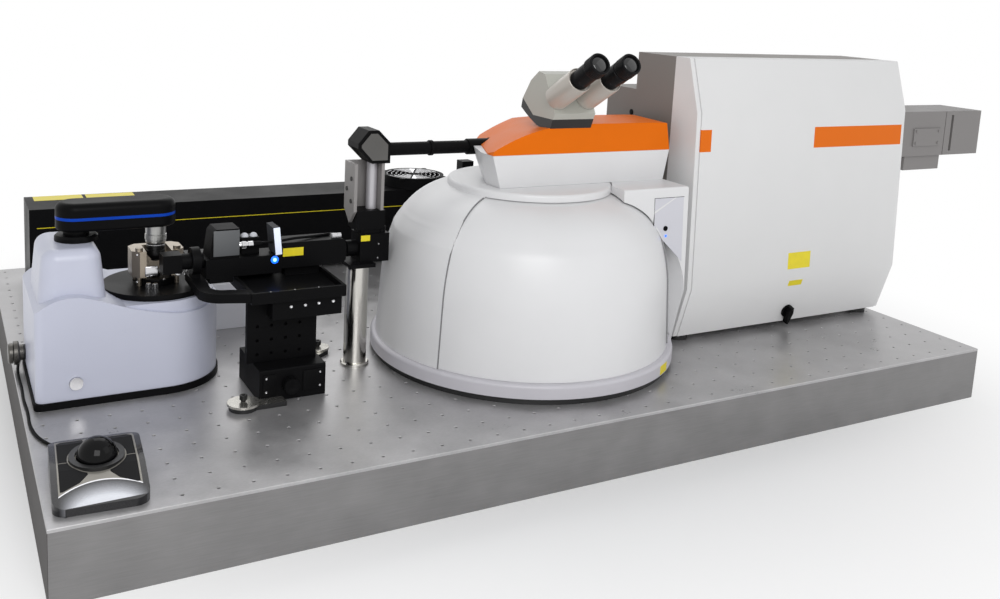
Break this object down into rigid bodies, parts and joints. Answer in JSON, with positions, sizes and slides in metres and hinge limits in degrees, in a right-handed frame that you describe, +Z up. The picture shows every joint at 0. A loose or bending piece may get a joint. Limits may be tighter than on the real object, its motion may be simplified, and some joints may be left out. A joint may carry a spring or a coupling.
{
  "type": "raman atomic force microscope",
  "caption": "Confocal Raman microscope with domed sample enclosure and spectrometer, coupled by a periscope and camera stage to an atomic force microscope on one optical table.",
  "frame": {"origin": "centre of the optical table's underside", "axes": "+X to the right along the table's front edge, +Y to the back, +Z up"},
  "size_m": [2.159, 1.25, 0.7184],
  "materials": {
    "table_steel": "dull brushed, ground top with small tapped holes",
    "table_side": "dull rolled sheet",
    "black_base": "satin moulded edge",
    "housing_white": "smooth cool white moulding",
    "deck_black": "black anodised",
    "arm_black": "satin black with a blue trim band",
    "lens_metal": "turned, knurled ring and black objective",
    "head_metal": "machined, with darker screws",
    "knob_dark": "knurled rim, bright face",
    "button_steel": "polished",
    "black_anodised": "satin black anodised",
    "bright_screws": "washers and cap screws",
    "camera_black": "fine texture",
    "post_steel": "polished rod",
    "channel_grey": "grey anodised channel",
    "controller_white": "fine texture, with a black unit on top",
    "enclosure_white": "smooth white moulding",
    "rim_grey": "light grey rim over a black foot",
    "orange_cover": "smooth orange moulding",
    "body_white": "fine texture",
    "eyepiece_grey": "grey tubes with black eyepieces",
    "chassis_white": "grey back and inside, white side flanges",
    "panel_white": "semi-gloss white, orange band",
    "latch_black": "moulded",
    "optic_metal": "drum with two gratings",
    "detector_grey": "grey enamel",
    "laser_black": "semi-gloss black",
    "fan_black": "moulded, bright guard wires",
    "pad_black": "black base, silver-grey bezel",
    "ball_black": "polished",
    "key_grey": "satin dark grey",
    "cord_rubber": "smooth",
    "plug_black": "moulded grip, metal shell",
    "inner_steel": "satin"
  },
  "bodies": {
    "table_assembly": {"table_top_skin": "table_steel", "table_body": "table_side", "afm_base": "black_base", "afm_housing": "housing_white", "afm_deck": "deck_black", "afm_column": "deck_black", "afm_scanner": "deck_black", "stage_clamps": "bright_screws", "stage_base": "black_anodised", "periscope_post": "post_steel", "periscope_cube": "black_anodised", "periscope_column": "channel_grey", "periscope_head": "black_anodised", "beam_tube": "black_anodised", "controller_stack": "controller_white", "enclosure_base": "rim_grey", "enclosure_shell": "enclosure_white", "enclosure_fairing": "enclosure_white", "microscope_stand": "inner_steel", "head_hull": "enclosure_white", "head_cover": "orange_cover", "binocular_body": "body_white", "spectrometer_chassis": "chassis_white", "detector_body": "detector_grey", "laser_housing": "laser_black", "fan_guard": "fan_black", "trackball_case": "pad_black", "trackball_cord": "cord_rubber", "trackball_cord_coil": "cord_rubber", "trackball_plug": "plug_black"},
    "focus_arm": {"afm_arm": "arm_black", "afm_zoom_lens": "lens_metal"},
    "scan_head": {"afm_scan_head": "head_metal"},
    "side_knob": {"afm_side_knob": "knob_dark"},
    "front_button": {"afm_front_button": "button_steel"},
    "lift_carriage": {"stage_lift_plate": "black_anodised", "stage_tray": "black_anodised", "stage_arm": "black_anodised", "side_objective": "black_anodised", "coupling_body": "black_anodised", "coupling_camera": "camera_black", "beam_box": "black_anodised"},
    "jack_knob": {"stage_knob": "knob_dark"},
    "sleeve": {"beam_sleeve": "black_anodised"},
    "door": {"enclosure_door": "enclosure_white"},
    "start_button": {"panel_button": "latch_black"},
    "turret": {"microscope_turret": "inner_steel"},
    "sample_stage": {"microscope_stage": "inner_steel"},
    "left_tube": {"left_eyepiece": "eyepiece_grey"},
    "right_tube": {"right_eyepiece": "eyepiece_grey"},
    "front_cover": {"spectrometer_cover": "panel_white"},
    "latch": {"cover_latch": "latch_black"},
    "grating": {"grating_turret": "optic_metal"},
    "fan": {"fan_rotor": "fan_black"},
    "ball": {"trackball_ball": "ball_black"},
    "scroll_ring": {"trackball_ring": "pad_black"},
    "key_rear_left": {"rear_left_key": "key_grey"},
    "key_rear_right": {"rear_right_key": "key_grey"},
    "key_front_left": {"front_left_key": "key_grey"},
    "key_front_right": {"front_right_key": "key_grey"}
  },
  "joints": [
    {"name": "focus", "type": "slide", "parent": "table_assembly", "child": "focus_arm", "axis": [0, 0, 1], "range_m": [0, 0.015]},
    {"name": "head_lift", "type": "slide", "parent": "table_assembly", "child": "scan_head", "axis": [0, 0, 1], "range_m": [0, 0.01]},
    {"name": "side_knob_turn", "type": "hinge", "parent": "table_assembly", "child": "side_knob", "pos_m": [-0.905, -0.04, 0.14], "axis": [1, 0, 0], "continuous": true},
    {"name": "front_button_press", "type": "slide", "parent": "table_assembly", "child": "front_button", "axis": [0, 1, 0], "range_m": [0, 0.003], "stiffness_N_per_m": 400, "springref_m": -0.001},
    {"name": "stage_lift", "type": "slide", "parent": "table_assembly", "child": "lift_carriage", "axis": [0, 0, 1], "range_m": [0, 0.008]},
    {"name": "jack_knob_turn", "type": "hinge", "parent": "table_assembly", "child": "jack_knob", "pos_m": [-0.515, -0.342, 0.138], "axis": [0, 1, 0], "range_deg": [-10, 1450]},
    {"name": "sleeve_slide", "type": "slide", "parent": "table_assembly", "child": "sleeve", "axis": [1, 0, 0], "range_m": [-0.06, 0]},
    {"name": "door_slide", "type": "hinge", "parent": "table_assembly", "child": "door", "pos_m": [-0.003, -0.255, 0.3], "axis": [0, 0, 1], "range_deg": [-105, 0]},
    {"name": "start_button_press", "type": "slide", "parent": "table_assembly", "child": "start_button", "axis": [0, 1, 0], "range_m": [0, 0.002], "stiffness_N_per_m": 300, "springref_m": -0.001},
    {"name": "turret_turn", "type": "hinge", "parent": "table_assembly", "child": "turret", "pos_m": [-0.003, -0.255, 0.38], "axis": [0, 0, 1], "continuous": true},
    {"name": "sample_focus", "type": "slide", "parent": "table_assembly", "child": "sample_stage", "axis": [0, 0, 1], "range_m": [-0.03, 0.025]},
    {"name": "left_tube_slide", "type": "slide", "parent": "table_assembly", "child": "left_tube", "axis": [1, 0, 0], "range_m": [-0.0035, 0.0065]},
    {"name": "right_tube_slide", "type": "slide", "parent": "table_assembly", "child": "right_tube", "axis": [1, 0, 0], "range_m": [-0.0065, 0.0035]},
    {"name": "cover_hinge", "type": "hinge", "parent": "table_assembly", "child": "front_cover", "pos_m": [0.6125, -0.34, 0.704], "axis": [-1, 0, 0], "range_deg": [0, 80]},
    {"name": "latch_turn", "type": "hinge", "parent": "front_cover", "child": "latch", "pos_m": [0.615, -0.36956, 0.151], "axis": [0, -0.9602, -0.2793], "range_deg": [0, 90]},
    {"name": "grating_turn", "type": "hinge", "parent": "table_assembly", "child": "grating", "pos_m": [0.52, -0.27, 0.2], "axis": [0, 0, 1], "continuous": true},
    {"name": "fan_spin", "type": "hinge", "parent": "table_assembly", "child": "fan", "pos_m": [0.08, 0.46, 0.32], "axis": [0, 0, 1], "continuous": true},
    {"name": "ball_roll", "type": "hinge", "parent": "table_assembly", "child": "ball", "pos_m": [-0.848, -0.505, 0.143], "axis": [1, 0, 0], "continuous": true},
    {"name": "ring_turn", "type": "hinge", "parent": "table_assembly", "child": "scroll_ring", "pos_m": [-0.848, -0.505, 0.14232], "axis": [-0.0052, -0.0857, 0.9963], "continuous": true},
    {"name": "key_rear_left_press", "type": "slide", "parent": "table_assembly", "child": "key_rear_left", "axis": [0, 0, -1], "range_m": [0, 0.002], "stiffness_N_per_m": 250, "springref_m": -0.001},
    {"name": "key_rear_right_press", "type": "slide", "parent": "table_assembly", "child": "key_rear_right", "axis": [0, 0, -1], "range_m": [0, 0.002], "stiffness_N_per_m": 250, "springref_m": -0.001},
    {"name": "key_front_left_press", "type": "slide", "parent": "table_assembly", "child": "key_front_left", "axis": [0, 0, -1], "range_m": [0, 0.002], "stiffness_N_per_m": 250, "springref_m": -0.001},
    {"name": "key_front_right_press", "type": "slide", "parent": "table_assembly", "child": "key_front_right", "axis": [0, 0, -1], "range_m": [0, 0.002], "stiffness_N_per_m": 250, "springref_m": -0.001}
  ],
  "couplings": [
    {"joint": "jack_knob_turn", "follows": "stage_lift", "rad_per_m": 3141.6},
    {"joint": "right_tube_slide", "follows": "left_tube_slide", "ratio": -1}
  ]
}
